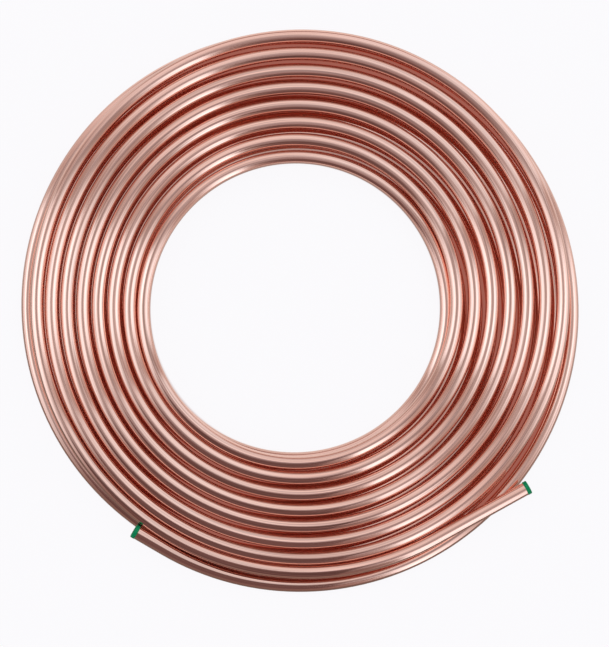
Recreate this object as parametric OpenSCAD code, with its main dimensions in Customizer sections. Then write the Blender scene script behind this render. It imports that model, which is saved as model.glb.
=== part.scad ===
// Coil of soft copper tube, wound as a double pancake: the tube winds inwards on the floor,
// climbs to a second layer at the eye and winds outwards again, so both ends lie outside.
// Millimetres, +Z up, origin on the coil's axis at floor level.

/* [Tube] */
// Outside diameter of the tube
tube_od = 9.52; // [9.4:0.01:9.6]
// Thickness of the tube's wall
tube_wall = 0.8; // [0.6:0.05:1.2]

/* [Winding] */
// Turns in each of the two layers
turns = 8; // [7:1:9]
// Clear diameter of the eye in the middle of the coil
eye_d = 205.3; // [195:0.1:220]
// Clear gap between neighbouring turns of the lower layer
lower_gap = 1.91; // [1.9:0.01:2]
// Mean clear gap between neighbouring turns of the upper layer
upper_gap = 2.3; // [2.25:0.01:2.32]
// Clear gap between the two layers
layer_gap = 0.25; // [0.2:0.01:0.3]
// How far the upper layer lies off the lower one, away from where the upper end leaves
layer_shift = 1.6; // [1.5:0.05:1.7]
// First step of the upper layer towards the side its end points to
layer_slip = 2.1; // [2:0.01:2.15]
// Further step to that side in each of its later turns
turn_drift = 0.85; // [0.82:0.01:0.9]

/* [Ends] */
// Direction, seen from the axis, in which the upper end leaves its layer
leave_angle = -61; // [-180:1:180]
// Straight length of the upper end, up to its plug
upper_end_length = 73; // [65:1:120]
// How far that end is pulled in towards the turn beside it
upper_end_pull = 1.7; // [1.5:0.1:1.8]
// Straight length of the lower end, up to its plug
lower_end_length = 22.5; // [21:0.5:24]
// Arc that the lower end adds before its first full turn
lower_end_arc = 60; // [59:1:61]
// How much tighter than the outermost turn that arc is bent
lower_end_pull = 6; // [5.8:0.1:6.1]
// Height that the arc climbs, to lie on the turn beside it
lower_end_lift = 8.6; // [8.55:0.05:8.75]

/* [Plugs] */
// Thickness of a plug's head
head_t = 3; // [2:0.1:6]
// How far the head stands proud of the tube, all round
head_lip = 0.24; // [0.1:0.01:0.4]
// Rounding of the head's outer edge
head_round = 0.6; // [0.2:0.1:1]
// Length of the stem inside the tube
stem_l = 9; // [4:0.5:20]
// Taper of the stem, taken off its radius at the tip
stem_taper = 0.3; // [0.1:0.05:1]
// Clearance between the stem's root and the tube's wall
stem_clear = 0.05; // [0.02:0.01:0.2]

/* [Hidden] */
$fn = 96;

copper = "#c98a72";
plug_green = "#0f7a4a";

tube_r = tube_od / 2;
bore_r = tube_r - tube_wall;
lower_pitch = tube_od + lower_gap;
upper_pitch = tube_od + upper_gap;
inner_r = eye_d / 2 + tube_r;
lower_z = tube_r;
upper_z = lower_z + tube_od + layer_gap;

// Neighbouring pieces of the tube meet in a hairline collar, this long and this much thicker than
// the wall on both faces; the climb meets the upper layer in a slightly thicker one
collar_l = 0.02;
collar_lip = 0.005;
tilt_lip = 0.15;

// The tube crosses a line through the axis twice in each turn. A crossing is [place along that
// line, height]; the half turn from one crossing to the next is an arc that is square to the line
// at both ends, so neighbouring arcs run into each other without a kink.
lower_crossings = [
    for (i = [0 : 2 * turns])
        [side(i) * (inner_r + (2 * turns - i) * lower_pitch / 2), lower_z]
];
upper_crossings = [
    for (i = [0 : 2 * turns - 1])
        [-side(i) * (inner_r + i * upper_pitch / 2 - pull(i)) - (i % 2) * 2 * layer_shift, upper_z]
];
first = lower_crossings[0];
inmost = lower_crossings[2 * turns];
last_i = 2 * turns - 1;
last = upper_crossings[last_i];
end_r = (lower_crossings[0][0] - lower_crossings[1][0]) / 2 - lower_end_pull;
end_tilt = asin(lower_end_lift / (end_r * (1 - cos(lower_end_arc))));

function side(i) = i % 2 == 0 ? 1 : -1;

// How far the upper layer's crossing i lies inside the even winding
function pull(i) = i < 2 * turns - 1 ? 0 : upper_end_pull;

// Sideways place of the upper layer's half turn i
function slip(i) = i < 1 ? 0 : layer_slip + turn_drift * (floor((i + 1) / 2) - 1);

// Ring-shaped section of the tube
module section(extra = 0) {
    difference() {
        circle(r = tube_r + extra);
        circle(r = bore_r - extra);
    }
}

// Half turns about the z axis, one for each radius: front is +1 for the +Y side, -1 for -Y
module half_turns(radii, front) {
    translate([0, front * collar_l / 2, 0])
        rotate([0, 0, front > 0 ? 0 : 180])
            rotate_extrude(angle = 180)
                for (r = radii) translate([r, 0]) section();
}

// All half turns of the lower layer that begin at every second crossing from start on
module lower_half_turns(start, front) {
    centre = (lower_crossings[start] + lower_crossings[start + 1]) / 2;
    radii = [
        for (i = [start : 2 : 2 * turns - 1])
            norm(lower_crossings[i] - lower_crossings[i + 1]) / 2
    ];
    translate([centre[0], 0, centre[1]]) half_turns(radii, front);
}

// Half turn i of the upper layer
module upper_half_turn(i) {
    centre = (upper_crossings[i] + upper_crossings[i + 1]) / 2;
    radius = norm(upper_crossings[i] - upper_crossings[i + 1]) / 2;
    translate([centre[0], slip(i), centre[1]]) half_turns([radius], -side(i));
}

// Half turn that climbs from the lower layer to the upper one, tilted as a whole
module climb() {
    span = inmost - upper_crossings[0];
    centre = (inmost + upper_crossings[0]) / 2;
    tilt = -atan2(span[1], span[0]);
    translate([centre[0], collar_l / 2, centre[1]])
        rotate([0, tilt, 0])
            rotate_extrude(angle = 180) translate([norm(span) / 2, 0]) rotate(tilt) section();
}

// Tube along +Y at a crossing, from one sideways place to another
module straight(crossing, from, to, extra = 0) {
    translate([crossing[0], from, crossing[1]])
        rotate([-90, 0, 0]) linear_extrude(to - from) section(extra);
}

// Collar around a crossing
module collar(crossing, y = 0, lip = collar_lip) {
    straight(crossing, y - collar_l / 2, y + collar_l / 2, lip);
}

// Places its children at the upper end's cut face, facing out along +Z
module at_upper_end() {
    translate([last[0], slip(last_i - 1) + upper_end_length, last[1]])
        rotate([-90, 0, 0]) children();
}

// Places its children at the start of the lower end's arc, tilted about the tube's own line where
// the first turn begins
module at_lower_arc() {
    translate([first[0], -collar_l / 2, first[1]])
        rotate([0, end_tilt, 0])
            translate([-end_r, 0, 0])
                rotate([0, 0, -lower_end_arc])
                    children();
}

// Places its children where the lower end's straight piece begins, facing out along +Z
module at_lower_straight() {
    at_lower_arc() translate([end_r, 0, 0]) rotate([90, 0, 0]) rotate(end_tilt) children();
}

// Places its children at the lower end's cut face, facing out along +Z
module at_lower_end() {
    at_lower_straight() translate([0, 0, collar_l + lower_end_length]) children();
}

// Lower end, from its cut face to the first crossing
module lower_end() {
    at_lower_straight() {
        translate([0, 0, collar_l]) linear_extrude(lower_end_length) section();
        linear_extrude(collar_l) section(collar_lip);
    }
    at_lower_arc()
        rotate_extrude(angle = lower_end_arc) translate([end_r, 0]) rotate(end_tilt) section();
    collar(first);
}

// Lower layer, wound inwards to the eye
module lower_layer() {
    lower_half_turns(0, 1);
    lower_half_turns(1, -1);
    for (i = [1 : 2 * turns - 1]) collar(lower_crossings[i]);
}

// Upper layer, wound outwards from the eye, with a short straight step in each turn
module upper_layer() {
    for (i = [0 : last_i - 1]) upper_half_turn(i);
    for (i = [1 : last_i]) collar(upper_crossings[i], slip(i - 1));
    for (i = [1 : 2 : last_i - 2]) {
        straight(upper_crossings[i], slip(i - 1) + collar_l / 2, slip(i) - collar_l / 2);
        collar(upper_crossings[i], slip(i));
    }
}

// Upper end, straight from the last crossing to its cut face
module upper_end() {
    straight(last, slip(last_i - 1) + collar_l / 2, slip(last_i - 1) + upper_end_length);
}

// The whole tube, from the lower end to the upper end
module copper_tube() {
    color(copper) rotate([0, 0, leave_angle]) {
        lower_end();
        lower_layer();
        collar(inmost);
        climb();
        collar(upper_crossings[0], 0, tilt_lip);
        upper_layer();
        upper_end();
    }
}

// Push-in plug: a rounded head seated on the cut face and a tapered stem inside the tube
module plug() {
    head_r = tube_r + head_lip;
    stem_r = bore_r - stem_clear;
    rotate_extrude() {
        square([head_r - head_round, head_t]);
        square([head_r, head_t - head_round]);
        translate([head_r - head_round, head_t - head_round]) circle(r = head_round);
    }
    translate([0, 0, -stem_l]) cylinder(h = stem_l, r1 = stem_r - stem_taper, r2 = stem_r);
}

module upper_plug() {
    color(plug_green) rotate([0, 0, leave_angle]) at_upper_end() plug();
}

module lower_plug() {
    color(plug_green) rotate([0, 0, leave_angle]) at_lower_end() plug();
}

copper_tube();
upper_plug();
lower_plug();
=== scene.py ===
"""Looks of a coil of soft copper tube: two wound layers, both ends outside, a plug in each end."""
import math

import bpy
import numpy as np
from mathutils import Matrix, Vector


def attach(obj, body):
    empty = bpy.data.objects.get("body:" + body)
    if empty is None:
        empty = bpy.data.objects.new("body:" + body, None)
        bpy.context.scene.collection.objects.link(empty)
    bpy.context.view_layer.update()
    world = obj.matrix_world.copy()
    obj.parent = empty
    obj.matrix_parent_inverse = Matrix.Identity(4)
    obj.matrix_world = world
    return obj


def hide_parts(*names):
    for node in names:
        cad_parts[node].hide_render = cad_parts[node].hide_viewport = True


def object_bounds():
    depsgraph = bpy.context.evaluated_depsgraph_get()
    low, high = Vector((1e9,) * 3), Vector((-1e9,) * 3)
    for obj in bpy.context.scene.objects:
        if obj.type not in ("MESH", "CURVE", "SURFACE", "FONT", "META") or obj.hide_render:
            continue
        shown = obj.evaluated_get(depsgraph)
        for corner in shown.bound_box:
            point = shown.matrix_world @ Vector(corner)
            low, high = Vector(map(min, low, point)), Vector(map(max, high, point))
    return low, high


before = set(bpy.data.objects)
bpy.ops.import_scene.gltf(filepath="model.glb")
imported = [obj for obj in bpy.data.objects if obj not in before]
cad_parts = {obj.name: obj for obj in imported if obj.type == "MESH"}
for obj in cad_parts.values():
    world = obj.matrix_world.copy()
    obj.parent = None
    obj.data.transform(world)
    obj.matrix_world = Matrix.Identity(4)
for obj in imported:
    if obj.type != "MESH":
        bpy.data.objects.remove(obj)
cad_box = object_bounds()

MM = 0.001

# Sizes of the tube and of its winding, in millimetres and degrees
TUBE_OD = 9.52
TUBE_WALL = 0.8
TURNS = 8
EYE_D = 205.3
LOWER_GAP = 1.91
UPPER_GAP = 2.3
LAYER_GAP = 0.25
LAYER_SHIFT = 1.6
LAYER_SLIP = 2.1
TURN_DRIFT = 0.85
LEAVE_ANGLE = -61
UPPER_END_LENGTH = 73
UPPER_END_PULL = 1.7
LOWER_END_LENGTH = 22.5
LOWER_END_ARC = 60
LOWER_END_PULL = 6
LOWER_END_LIFT = 8.6

# Fineness of the swept tube, and its cut ends with the blind bore that takes a plug
SIDES = 30
STEP_DEG = 2.0
STRAIGHT_STEP = 6.0
SHARP_DEG = 35
CUT_CHAMFER = 0.12
BORE_DEPTH = 14

# Drawn copper. Marks are noise on the tube's skin: the smaller the stretch, the longer a mark runs
# along the tube. Blotches vary the tint, and streaks darken it, dull it and stand up as relief.
STREAK = {"stretch": 1.4, "scale": 5.0, "detail": 2.0}
BLOTCH = {"stretch": 14.0, "scale": 1.3, "detail": 3.0}
COPPER_SPAN = (0.3, 0.7)
COPPER_DARK = (0.91, 0.55, 0.45)
COPPER_PALE = (0.95, 0.61, 0.51)
WORN_SPAN = (0.36, 0.58)
WORN_SHADE = (0.74, 1.05)
ROUGH_SPAN = (0.3, 0.7)
COPPER_ROUGHNESS = (0.08, 0.16)
COPPER_BUMP = {"Strength": 0.1, "Distance": 0.0002}

# Moulded green plastic with a fine mottle
PLUG_MOTTLE = {"Scale": 900.0, "Detail": 3.0}
PLUG_SPAN = (0.35, 0.65)
PLUG_DARK = (0.0, 0.20, 0.07)
PLUG_PALE = (0.003, 0.29, 0.11)
PLUG_BUMP = {"Strength": 0.1, "Distance": 0.0001}
PLUG_ROUGHNESS = 0.38
PLUG_SPECULAR = 0.15

# Light goes to and fro between neighbouring turns before it leaves a gap
GLOSSY_BOUNCES = 10

# The photograph's frame and the camera that takes it, in pixels and millimetres
IMAGE_W, IMAGE_H = 609, 647
CENTRE_PX = (296.0, 308.2)
LOWER_SCALE = 0.7153
CAMERA_DISTANCE = 1318
SENSOR_MM = 24

# Half the floor's side and how far the floor lies below the coil, in millimetres
FLOOR_HALF = 12000
FLOOR_DROP = 0.2
FLOOR_ROUGHNESS = 0.9

# The floor under the coil is painted in shade: the centres of the eye and of the rim, and the radii
# between which the painted shade sets in and ends, in millimetres
EYE_CENTRE = (-0.6, 0.1)
EYE_SHADE = (103, 107)
RIM_CENTRE = (4.1, -0.3)
RIM_SHADE = (192, 198)

# Colours of the open floor and of its painted shade under the coil, which painted copper-red
# bounce light warms, the light that each shows, and how much of that light the camera sees;
# the rest is the lit floor with the coil's shadow on it
FLOOR_TINT = (0.8, 0.8, 0.81)
SHADE_AND_BOUNCE_TINT = (0.75, 0.50, 0.45)
FLOOR_LIGHT = (0.99, 0.98, 1.0)
SHADE_AND_BOUNCE_GLOW = (0.37, 0.115, 0.085)
FLOOR_GLOW = 0.94

# The open floor as the metal mirrors it carries a painted shadow of the coil, as if the light came
# from a bearing, in degrees from +X: the near side of the rim is painted dim, and so is the far
# side of the eye, down to a least share of the light
GLOW_BEARING = 80
GLOW_DIM = (0.22, 0.18, 0.16)
GLOW_LIT = (0.88, 0.86, 0.86)
EYE_LIT_LEAST = 0.38

# Light of the room, of its ceiling down to an angle from straight up, and of the panels that stand
# about the coil. A panel has the bearings, in degrees from +X, at which it begins, is full, starts
# to fade and ends, the angles from straight up between which its top edge sets in, and its light.
ROOM = (0.28, 0.195, 0.185)
OVERHEAD = (0.44, 0.42, 0.45)
OVERHEAD_REACH = (54, 0)
RIGHT_BOX = (322, 352, 362, 380)
LEFT_BOX = (154, 163, 180, 222)
GLOW = {"edge": (0, 7), "light": (0.58, 0.57, 0.57)}
BOX = {"edge": (11, 36), "light": (1.45, 1.72, 1.92)}
BOX_FOOT = {"edge": (48, 72), "light": (1.06, 1.14, 1.22)}
PANELS = {
    "fill": dict(bearings=(280, 294, 562, 590), edge=(14, 40), light=(0.50, 0.43, 0.42)),
    "far_sheet": dict(bearings=(25, 31, 128, 150), edge=(0, 17), light=(0.87, 0.87, 0.90)),
    "far_sheet_end": dict(bearings=(24, 30, 55, 95), edge=(2, 18), light=(0.92, 1.02, 1.10)),
    "below_sheet": dict(bearings=(48, 72, 115, 140), edge=(58, 82), light=(0.45, 0.33, 0.31)),
    "right_glow": dict(bearings=(316, 346, 364, 384), **GLOW),
    "left_glow": dict(bearings=(150, 161, 184, 224), **GLOW),
    "right_box": dict(bearings=RIGHT_BOX, **BOX),
    "left_box": dict(bearings=LEFT_BOX, **BOX),
    "right_box_foot": dict(bearings=RIGHT_BOX, **BOX_FOOT),
    "left_box_foot": dict(bearings=LEFT_BOX, **BOX_FOOT),
    "small_lamp": dict(bearings=(289, 294, 296, 315), edge=(14, 34), light=(1.55, 1.80, 1.98)),
}

# A slanted dark flag stands close on the viewer's side, where only the metal mirrors it: its reach
# along X, the Y and Z of its top and foot, and the height below which it is full, in millimetres
FLAG_X = (-340, 60)
FLAG_TOP = (-90, 400)
FLAG_FOOT = (-460, 90)
FLAG_FULL = 295
FLAG_LIGHT = (0.155, 0.10, 0.10)

tube_r = TUBE_OD / 2
bore_r = tube_r - TUBE_WALL
lower_pitch = TUBE_OD + LOWER_GAP
upper_pitch = TUBE_OD + UPPER_GAP
inner_r = EYE_D / 2 + tube_r
lower_z = tube_r
upper_z = lower_z + TUBE_OD + LAYER_GAP


def side(i):
    """Side of the axis on which crossing i of the lower layer lies."""
    return 1 if i % 2 == 0 else -1


def slip(i):
    """Sideways place of the upper layer's half turn i."""
    return 0 if i < 1 else LAYER_SLIP + TURN_DRIFT * ((i + 1) // 2 - 1)


# The tube crosses a line through the axis twice in each turn: the places along that line
lower_crossings = [
    side(i) * (inner_r + (2 * TURNS - i) * lower_pitch / 2) for i in range(2 * TURNS + 1)
]
upper_crossings = [
    -side(i) * (inner_r + i * upper_pitch / 2) - (i % 2) * 2 * LAYER_SHIFT for i in range(2 * TURNS)
]
upper_crossings[-1] -= UPPER_END_PULL


def arc(centre, radius, start, sweep, tilt=0.0):
    """Points on an arc in millimetres; tilt turns it about the line through its centre along Y."""
    count = max(2, round(abs(sweep) / STEP_DEG) + 1)
    a = np.radians(np.linspace(start, start + sweep, count))
    flat = radius * np.cos(a)
    return np.stack(
        [
            centre[0] + flat * math.cos(tilt),
            centre[1] + radius * np.sin(a),
            centre[2] + flat * math.sin(tilt),
        ],
        axis=1,
    )


def half_turn(a, b, y, z):
    """Points on the level half turn from crossing a to crossing b."""
    start = 0 if a > b else 180
    return arc(((a + b) / 2, y, z), abs(a - b) / 2, start, 180)


def line(start, end):
    """Points on a straight piece, in millimetres."""
    start, end = np.array(start, float), np.array(end, float)
    count = max(2, round(np.linalg.norm(end - start) / STRAIGHT_STEP) + 1)
    return start + np.linspace(0, 1, count)[:, None] * (end - start)


def lower_end():
    """The lower free end, from its cut face inwards: a short straight piece and a tilted bend."""
    first, second = lower_crossings[0], lower_crossings[1]
    radius = (first - second) / 2 - LOWER_END_PULL
    drop = radius * (1 - math.cos(math.radians(LOWER_END_ARC)))
    tilt = -math.asin(LOWER_END_LIFT / drop)
    centre = (first - radius * math.cos(tilt), 0, lower_z - radius * math.sin(tilt))
    bend = arc(centre, radius, -LOWER_END_ARC, LOWER_END_ARC, tilt)
    a = math.radians(-LOWER_END_ARC)
    out = np.array([math.sin(a) * math.cos(tilt), -math.cos(a), math.sin(a) * math.sin(tilt)])
    return [line(bend[0] + LOWER_END_LENGTH * out, bend[0]), bend]


def lower_layer():
    """Half turns of the lower layer, from the outside to the eye."""
    pairs = zip(lower_crossings, lower_crossings[1:])
    return [half_turn(a, b, 0, lower_z) for a, b in pairs]


def climb():
    """The tilted half turn from the lower layer to the upper one."""
    a, b = lower_crossings[-1], upper_crossings[0]
    span, rise = a - b, lower_z - upper_z
    centre = ((a + b) / 2, 0, (lower_z + upper_z) / 2)
    return [arc(centre, math.hypot(span, rise) / 2, 0, 180, math.atan2(rise, span))]


def upper_layer():
    """Half turns of the upper layer, the short straight steps between them and the upper end."""
    runs = []
    last = 2 * TURNS - 1
    for i in range(last):
        a, b = upper_crossings[i], upper_crossings[i + 1]
        if i and slip(i) > slip(i - 1):
            runs.append(line((a, slip(i - 1), upper_z), (a, slip(i), upper_z)))
        runs.append(half_turn(a, b, slip(i), upper_z))
    x, y = upper_crossings[last], slip(last - 1)
    runs.append(line((x, y, upper_z), (x, y + UPPER_END_LENGTH, upper_z)))
    return runs


def centreline():
    """The tube's whole centreline in metres, from the lower cut face to the upper one."""
    runs = [*lower_end(), *lower_layer(), *climb(), *upper_layer()]
    p = np.vstack([runs[0][:1], *(run[1:] for run in runs)])
    a = math.radians(LEAVE_ANGLE)
    turn = np.array([[math.cos(a), -math.sin(a), 0], [math.sin(a), math.cos(a), 0], [0, 0, 1]])
    return p @ turn.T * MM


def sections(p):
    """Directions along, across and up of the tube's section at each point."""
    along = np.gradient(p, axis=0)
    along[0], along[-1] = p[1] - p[0], p[-1] - p[-2]
    along /= np.linalg.norm(along, axis=1)[:, None]
    across = np.cross(along, [0, 0, 1])
    across /= np.linalg.norm(across, axis=1)[:, None]
    return along, across, np.cross(across, along)


def new_object(name, vertices, faces, material):
    """Adds a mesh object that is smooth but for its sharp edges."""
    mesh = bpy.data.meshes.new(name)
    mesh.from_pydata([tuple(v) for v in vertices], [], [tuple(f) for f in faces])
    mesh.polygons.foreach_set("use_smooth", [True] * len(mesh.polygons))
    mesh.set_sharp_from_angle(angle=math.radians(SHARP_DEG))
    mesh.materials.append(material)
    obj = bpy.data.objects.new(name, mesh)
    bpy.context.scene.collection.objects.link(obj)
    return obj


def ring_faces(rings):
    """Quads between neighbouring rings of the sweep, and the two end faces."""
    k = np.arange(SIDES)
    quads = []
    for r in range(rings - 1):
        a, b = r * SIDES + k, (r + 1) * SIDES + k
        quads.append(np.stack([a, np.roll(a, -1), np.roll(b, -1), b], axis=1))
    faces = np.vstack(quads).tolist()
    faces.append(list(range(SIDES))[::-1])
    faces.append(list(range((rings - 1) * SIDES, rings * SIDES)))
    return faces


def make_tube(material):
    """Sweeps the tube along its centreline; both ends are cut square, with a blind bore each."""
    p = centreline()
    along, across, up = sections(p)
    lengths = np.r_[0, np.cumsum(np.linalg.norm(np.diff(p, axis=0), axis=1))]
    # Radius and inset of the rings at a cut end, from the bottom of the bore to the tube's skin
    cut = [(bore_r, BORE_DEPTH), (bore_r, 0), (tube_r - CUT_CHAMFER, 0), (tube_r, CUT_CHAMFER)]
    last = len(p) - 1
    rings = [(0, radius, inset) for radius, inset in cut]
    rings += [(i, tube_r, 0) for i in range(1, last)]
    rings += [(last, radius, -inset) for radius, inset in reversed(cut)]
    angles = 2 * math.pi * np.arange(SIDES) / SIDES
    vertices = []
    ring_lengths = []
    for i, radius, inset in rings:
        spokes = np.cos(angles)[:, None] * up[i] + np.sin(angles)[:, None] * across[i]
        vertices.append(p[i] + inset * MM * along[i] + radius * MM * spokes)
        ring_lengths.append(lengths[i] + inset * MM)
    obj = new_object("copper_tube_swept", np.vstack(vertices), ring_faces(len(rings)), material)
    mark_length(obj, ring_lengths)
    return obj


def mark_length(obj, ring_lengths):
    """Stores on each face corner how far along the tube it is, and its place round the section."""
    mesh = obj.data
    layer = mesh.uv_layers.new(name="tube")
    corner = np.zeros(len(mesh.loops), np.int32)
    mesh.loops.foreach_get("vertex_index", corner)
    u = np.repeat(ring_lengths, SIDES)[corner]
    v = (corner % SIDES) / SIDES
    first = np.zeros(len(mesh.polygons), np.int32)
    total = np.zeros(len(mesh.polygons), np.int32)
    mesh.polygons.foreach_get("loop_start", first)
    mesh.polygons.foreach_get("loop_total", total)
    face = np.repeat(np.arange(len(first)), total)
    spread = (np.maximum.reduceat(v, first) - np.minimum.reduceat(v, first))[face]
    # A quad that closes its ring runs on past a full turn, so its low corners count one turn more
    wraps = (spread > 0.5) & (v < 0.5) & (total[face] == 4)
    v = np.where(wraps, v + 1, v)
    layer.data.foreach_set("uv", np.stack([u, v], axis=1).ravel().astype(np.float32))


def node(tree, kind, inputs=(), **settings):
    """Adds a shader node, sets its properties and fills or links its inputs."""
    n = tree.nodes.new(kind)
    for key, value in settings.items():
        setattr(n, key, value)
    for key, value in dict(inputs).items():
        if isinstance(value, bpy.types.NodeSocket):
            tree.links.new(value, n.inputs[key])
        else:
            n.inputs[key].default_value = value
    return n


def new_material(name):
    """Adds a material; returns it with its node tree and its shader."""
    material = bpy.data.materials.new(name)
    material.use_nodes = True
    tree = material.node_tree
    return material, tree, tree.nodes["Principled BSDF"]


def maths(tree, operation, *values):
    """The result of a sum on numbers or on other nodes' outputs."""
    return node(tree, "ShaderNodeMath", dict(enumerate(values)), operation=operation).outputs[0]


def vector_maths(tree, operation, first, second):
    """The number that comes of two vectors."""
    inputs = {0: first, 1: second}
    return node(tree, "ShaderNodeVectorMath", inputs, operation=operation).outputs["Value"]


def map_range(tree, value, span, result, kind="LINEAR"):
    """Carries a value from one span of numbers to another."""
    inputs = {
        "Value": value,
        "From Min": span[0],
        "From Max": span[1],
        "To Min": result[0],
        "To Max": result[1],
    }
    return node(tree, "ShaderNodeMapRange", inputs, interpolation_type=kind).outputs["Result"]


def smooth(tree, value, start, end, low=0.0, high=1.0):
    """A soft step from low to high as value goes from start to end."""
    return map_range(tree, value, (start, end), (low, high), "SMOOTHSTEP")


def tint_ramp(tree, value, span, dark, pale):
    """A tint from dark to pale as value goes over a span."""
    ramp = node(tree, "ShaderNodeValToRGB", {"Fac": value})
    for element, position, colour in zip(ramp.color_ramp.elements, span, (dark, pale)):
        element.position = position
        element.color = (*colour, 1)
    return ramp.outputs["Color"]


def mix(tree, factor, first, second):
    """A mix of two numbers."""
    inputs = {"Factor": factor, "A": first, "B": second}
    return node(tree, "ShaderNodeMix", inputs, data_type="FLOAT").outputs["Result"]


def mix_colours(tree, factor, first, second):
    """A mix of two colours, each given as a triple or as another node's output."""
    ends = [c if isinstance(c, bpy.types.NodeSocket) else (*c, 1) for c in (first, second)]
    inputs = {"Factor": factor, "A": ends[0], "B": ends[1]}
    return node(tree, "ShaderNodeMix", inputs, data_type="RGBA").outputs["Result"]


def mix_to_surface(tree, output, share, first, second):
    """Mixes two shaders and links the mix to the named output's surface."""
    inputs = {0: share, 1: first.outputs[0], 2: second.outputs[0]}
    blend = node(tree, "ShaderNodeMixShader", inputs)
    tree.links.new(blend.outputs[0], tree.nodes[output].inputs["Surface"])


def copper_material():
    """Drawn copper, streaked along the tube."""
    material, tree, shader = new_material("drawn_copper")
    uv = node(tree, "ShaderNodeUVMap", uv_map="tube").outputs["UV"]
    split = node(tree, "ShaderNodeSeparateXYZ", {0: uv})
    turn = maths(tree, "MULTIPLY", split.outputs["Y"], 2 * math.pi)
    cosine, sine = maths(tree, "COSINE", turn), maths(tree, "SINE", turn)

    def marks(stretch, scale, detail):
        """Noise on the tube's skin."""
        length = maths(tree, "MULTIPLY", split.outputs["X"], stretch)
        place = node(tree, "ShaderNodeCombineXYZ", {0: length, 1: cosine, 2: sine}).outputs[0]
        inputs = {"Vector": place, "Scale": scale, "Detail": detail}
        return node(tree, "ShaderNodeTexNoise", inputs).outputs["Fac"]

    streak = marks(**STREAK)
    blotch = marks(**BLOTCH)
    tint = tint_ramp(tree, blotch, COPPER_SPAN, COPPER_DARK, COPPER_PALE)
    worn = map_range(tree, streak, WORN_SPAN, WORN_SHADE)
    skin = node(tree, "ShaderNodeVectorMath", {0: tint, "Scale": worn}, operation="SCALE")
    rough = map_range(tree, streak, ROUGH_SPAN, COPPER_ROUGHNESS)
    bump = node(tree, "ShaderNodeBump", {"Height": streak, **COPPER_BUMP})
    tree.links.new(skin.outputs[0], shader.inputs["Base Color"])
    tree.links.new(rough, shader.inputs["Roughness"])
    tree.links.new(bump.outputs["Normal"], shader.inputs["Normal"])
    shader.inputs["Metallic"].default_value = 1.0
    return material


def plug_material():
    """Moulded green plastic."""
    material, tree, shader = new_material("moulded_green_plastic")
    place = node(tree, "ShaderNodeTexCoord").outputs["Object"]
    mottle = node(tree, "ShaderNodeTexNoise", {"Vector": place, **PLUG_MOTTLE}).outputs["Fac"]
    tint = tint_ramp(tree, mottle, PLUG_SPAN, PLUG_DARK, PLUG_PALE)
    bump = node(tree, "ShaderNodeBump", {"Height": mottle, **PLUG_BUMP})
    tree.links.new(tint, shader.inputs["Base Color"])
    tree.links.new(bump.outputs["Normal"], shader.inputs["Normal"])
    shader.inputs["Roughness"].default_value = PLUG_ROUGHNESS
    shader.inputs["Specular IOR Level"].default_value = PLUG_SPECULAR
    return material


def floor_distance(tree, place, centre):
    """Distance on the floor from a centre given in millimetres."""
    return vector_maths(tree, "DISTANCE", place, (centre[0] * MM, centre[1] * MM, 0.0))


def mirrored_floor(tree, place):
    """Colour of the open floor as the metal mirrors it, in the eye and outside the rim, with a
    painted shadow of the coil.
    """
    bearing = math.radians(GLOW_BEARING)
    towards = vector_maths(
        tree, "DOT_PRODUCT", place, (math.cos(bearing), math.sin(bearing), 0.0)
    )
    rim_lit = smooth(tree, towards, -RIM_SHADE[1] * MM, RIM_SHADE[1] * MM)
    eye_lit = smooth(tree, towards, EYE_SHADE[0] * MM, -EYE_SHADE[0] * MM, EYE_LIT_LEAST)
    from_rim = floor_distance(tree, place, RIM_CENTRE)
    outside = smooth(tree, from_rim, EYE_SHADE[1] * MM, RIM_SHADE[0] * MM)
    return mix_colours(tree, mix(tree, outside, eye_lit, rim_lit), GLOW_DIM, GLOW_LIT)


def floor_material():
    """A pale floor that shows white where it lies open, with painted shade and a painted dim glow
    of copper-red bounce light under the coil.
    """
    material, tree, shader = new_material("pale_floor")
    shader.inputs["Roughness"].default_value = FLOOR_ROUGHNESS
    shader.inputs["Specular IOR Level"].default_value = 0.0
    path = node(tree, "ShaderNodeLightPath").outputs
    place = node(tree, "ShaderNodeTexCoord").outputs["Object"]
    from_eye = floor_distance(tree, place, EYE_CENTRE)
    from_rim = floor_distance(tree, place, RIM_CENTRE)
    # Mask of the painted shade under the coil
    past_eye = smooth(tree, from_eye, EYE_SHADE[0] * MM, EYE_SHADE[1] * MM)
    within_rim = smooth(tree, from_rim, RIM_SHADE[0] * MM, RIM_SHADE[1] * MM, 1.0, 0.0)
    under = maths(tree, "MULTIPLY", past_eye, within_rim)
    # Painted copper-red bounce light warms the floor's colour in the painted shade
    tint = mix_colours(tree, under, FLOOR_TINT, SHADE_AND_BOUNCE_TINT)
    tree.links.new(tint, shader.inputs["Base Color"])
    # The metal mirrors the open floor with a painted shadow of the coil
    mirrored = mirrored_floor(tree, place)
    bare = mix_colours(tree, path["Is Glossy Ray"], FLOOR_LIGHT, mirrored)
    # Under the coil the floor shows painted shade with a painted dim glow of copper-red bounce
    # light
    colour = mix_colours(tree, under, bare, SHADE_AND_BOUNCE_GLOW)
    glow = node(tree, "ShaderNodeEmission", {"Color": colour, "Strength": 1.0})
    seen = maths(tree, "MAXIMUM", path["Is Camera Ray"], path["Is Transmission Ray"])
    seen = maths(tree, "MULTIPLY", seen, FLOOR_GLOW)
    share = maths(tree, "MAXIMUM", seen, path["Is Glossy Ray"])
    mix_to_surface(tree, "Material Output", share, shader, glow)
    return material


def make_floor():
    """A level floor, a little below the coil so that the two never share a plane."""
    half = FLOOR_HALF * MM
    z = cad_box[0][2] - FLOOR_DROP * MM
    corners = [(x * half, y * half, z) for x, y in ((-1, -1), (1, -1), (1, 1), (-1, 1))]
    floor = new_object("floor", corners, [(0, 1, 2, 3)], floor_material())


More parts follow.
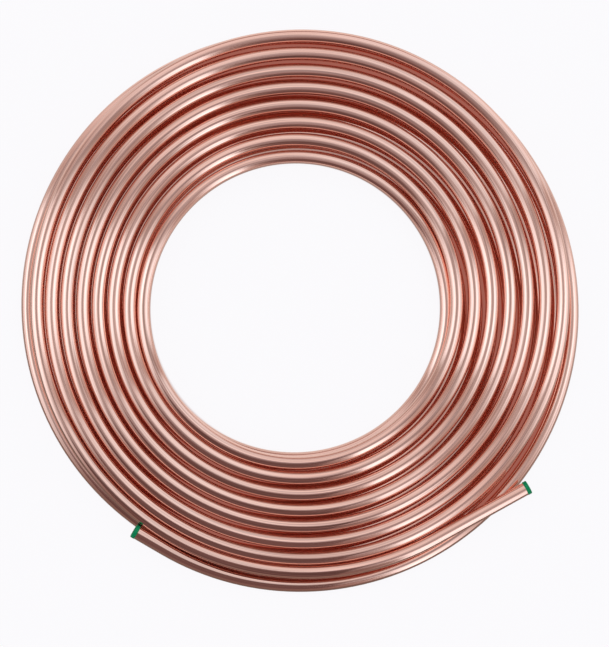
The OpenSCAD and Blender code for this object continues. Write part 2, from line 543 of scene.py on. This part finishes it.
def make_flag():
    """A dark card, faded towards its top edge, that neither the camera nor the floor sees."""
    material, tree, _ = new_material("dark_flag")
    place = node(tree, "ShaderNodeTexCoord").outputs["Object"]
    height = node(tree, "ShaderNodeSeparateXYZ", {0: place}).outputs["Z"]
    fade = smooth(tree, height, FLAG_TOP[1] * MM, FLAG_FULL * MM)
    clear = node(tree, "ShaderNodeBsdfTransparent")
    dark = node(tree, "ShaderNodeEmission", {"Color": (*FLAG_LIGHT, 1), "Strength": 1.0})
    mix_to_surface(tree, "Material Output", fade, clear, dark)
    corners = [
        (x * MM, y * MM, z * MM)
        for (y, z), ends in ((FLAG_TOP, FLAG_X), (FLAG_FOOT, FLAG_X[::-1]))
        for x in ends
    ]
    flag = new_object("dark_flag", corners, [(0, 1, 2, 3)], material)
    flag.visible_camera = False
    flag.visible_diffuse = False
    flag.visible_shadow = False


def make_light():
    """The world's light: a room, its ceiling and soft panels. The camera sees it plain white."""
    world = bpy.data.worlds.new("studio")
    world.use_nodes = True
    tree = world.node_tree
    direction = node(tree, "ShaderNodeTexCoord").outputs["Generated"]
    x, y, z = node(tree, "ShaderNodeSeparateXYZ", {0: direction}).outputs
    azimuth = maths(tree, "DEGREES", maths(tree, "ARCTAN2", y, x))
    zenith = maths(tree, "DEGREES", maths(tree, "ARCCOSINE", z))
    light = mix_colours(tree, smooth(tree, zenith, *OVERHEAD_REACH), ROOM, OVERHEAD)
    for panel in PANELS.values():
        begin, full, fade, end = panel["bearings"]
        turn = maths(tree, "WRAP", maths(tree, "SUBTRACT", azimuth, begin), 360.0, 0.0)
        rising = smooth(tree, turn, 0.0, full - begin)
        fading = smooth(tree, turn, fade - begin, end - begin, 1.0, 0.0)
        below_edge = smooth(tree, zenith, *panel["edge"])
        here = maths(tree, "MULTIPLY", maths(tree, "MULTIPLY", rising, fading), below_edge)
        light = mix_colours(tree, here, light, panel["light"])
    back = tree.nodes["Background"]
    tree.links.new(light, back.inputs["Color"])
    white = node(tree, "ShaderNodeBackground", {"Color": (*FLOOR_LIGHT, 1), "Strength": 1.0})
    to_camera = node(tree, "ShaderNodeLightPath").outputs["Is Camera Ray"]
    mix_to_surface(tree, "World Output", to_camera, back, white)
    bpy.context.scene.world = world


def make_camera():
    """A camera straight above, framed as the photograph is."""
    data = bpy.data.cameras.new("camera")
    data.sensor_fit = "VERTICAL"
    data.sensor_height = SENSOR_MM
    data.lens = SENSOR_MM * CAMERA_DISTANCE / (IMAGE_H * LOWER_SCALE)
    camera = bpy.data.objects.new("camera", data)
    bpy.context.scene.collection.objects.link(camera)
    camera.location = [
        (IMAGE_W / 2 - CENTRE_PX[0]) * LOWER_SCALE * MM,
        (CENTRE_PX[1] - IMAGE_H / 2) * LOWER_SCALE * MM,
        (CAMERA_DISTANCE + lower_z) * MM,
    ]
    bpy.context.scene.camera = camera


make_camera()
make_light()
make_flag()
make_floor()

tube = make_tube(copper_material())
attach(tube, "root")
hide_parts("copper_tube")

green = plug_material()
for name in ("upper_plug", "lower_plug"):
    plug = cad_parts[name]
    plug.data.materials.clear()
    plug.data.materials.append(green)
# Kept out of the metal's reflections: its image would stand as dark spots on the turn beside it
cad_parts["upper_plug"].visible_glossy = False

bpy.context.scene.view_settings.view_transform = "Standard"
bpy.context.scene.cycles.glossy_bounces = GLOSSY_BOUNCES
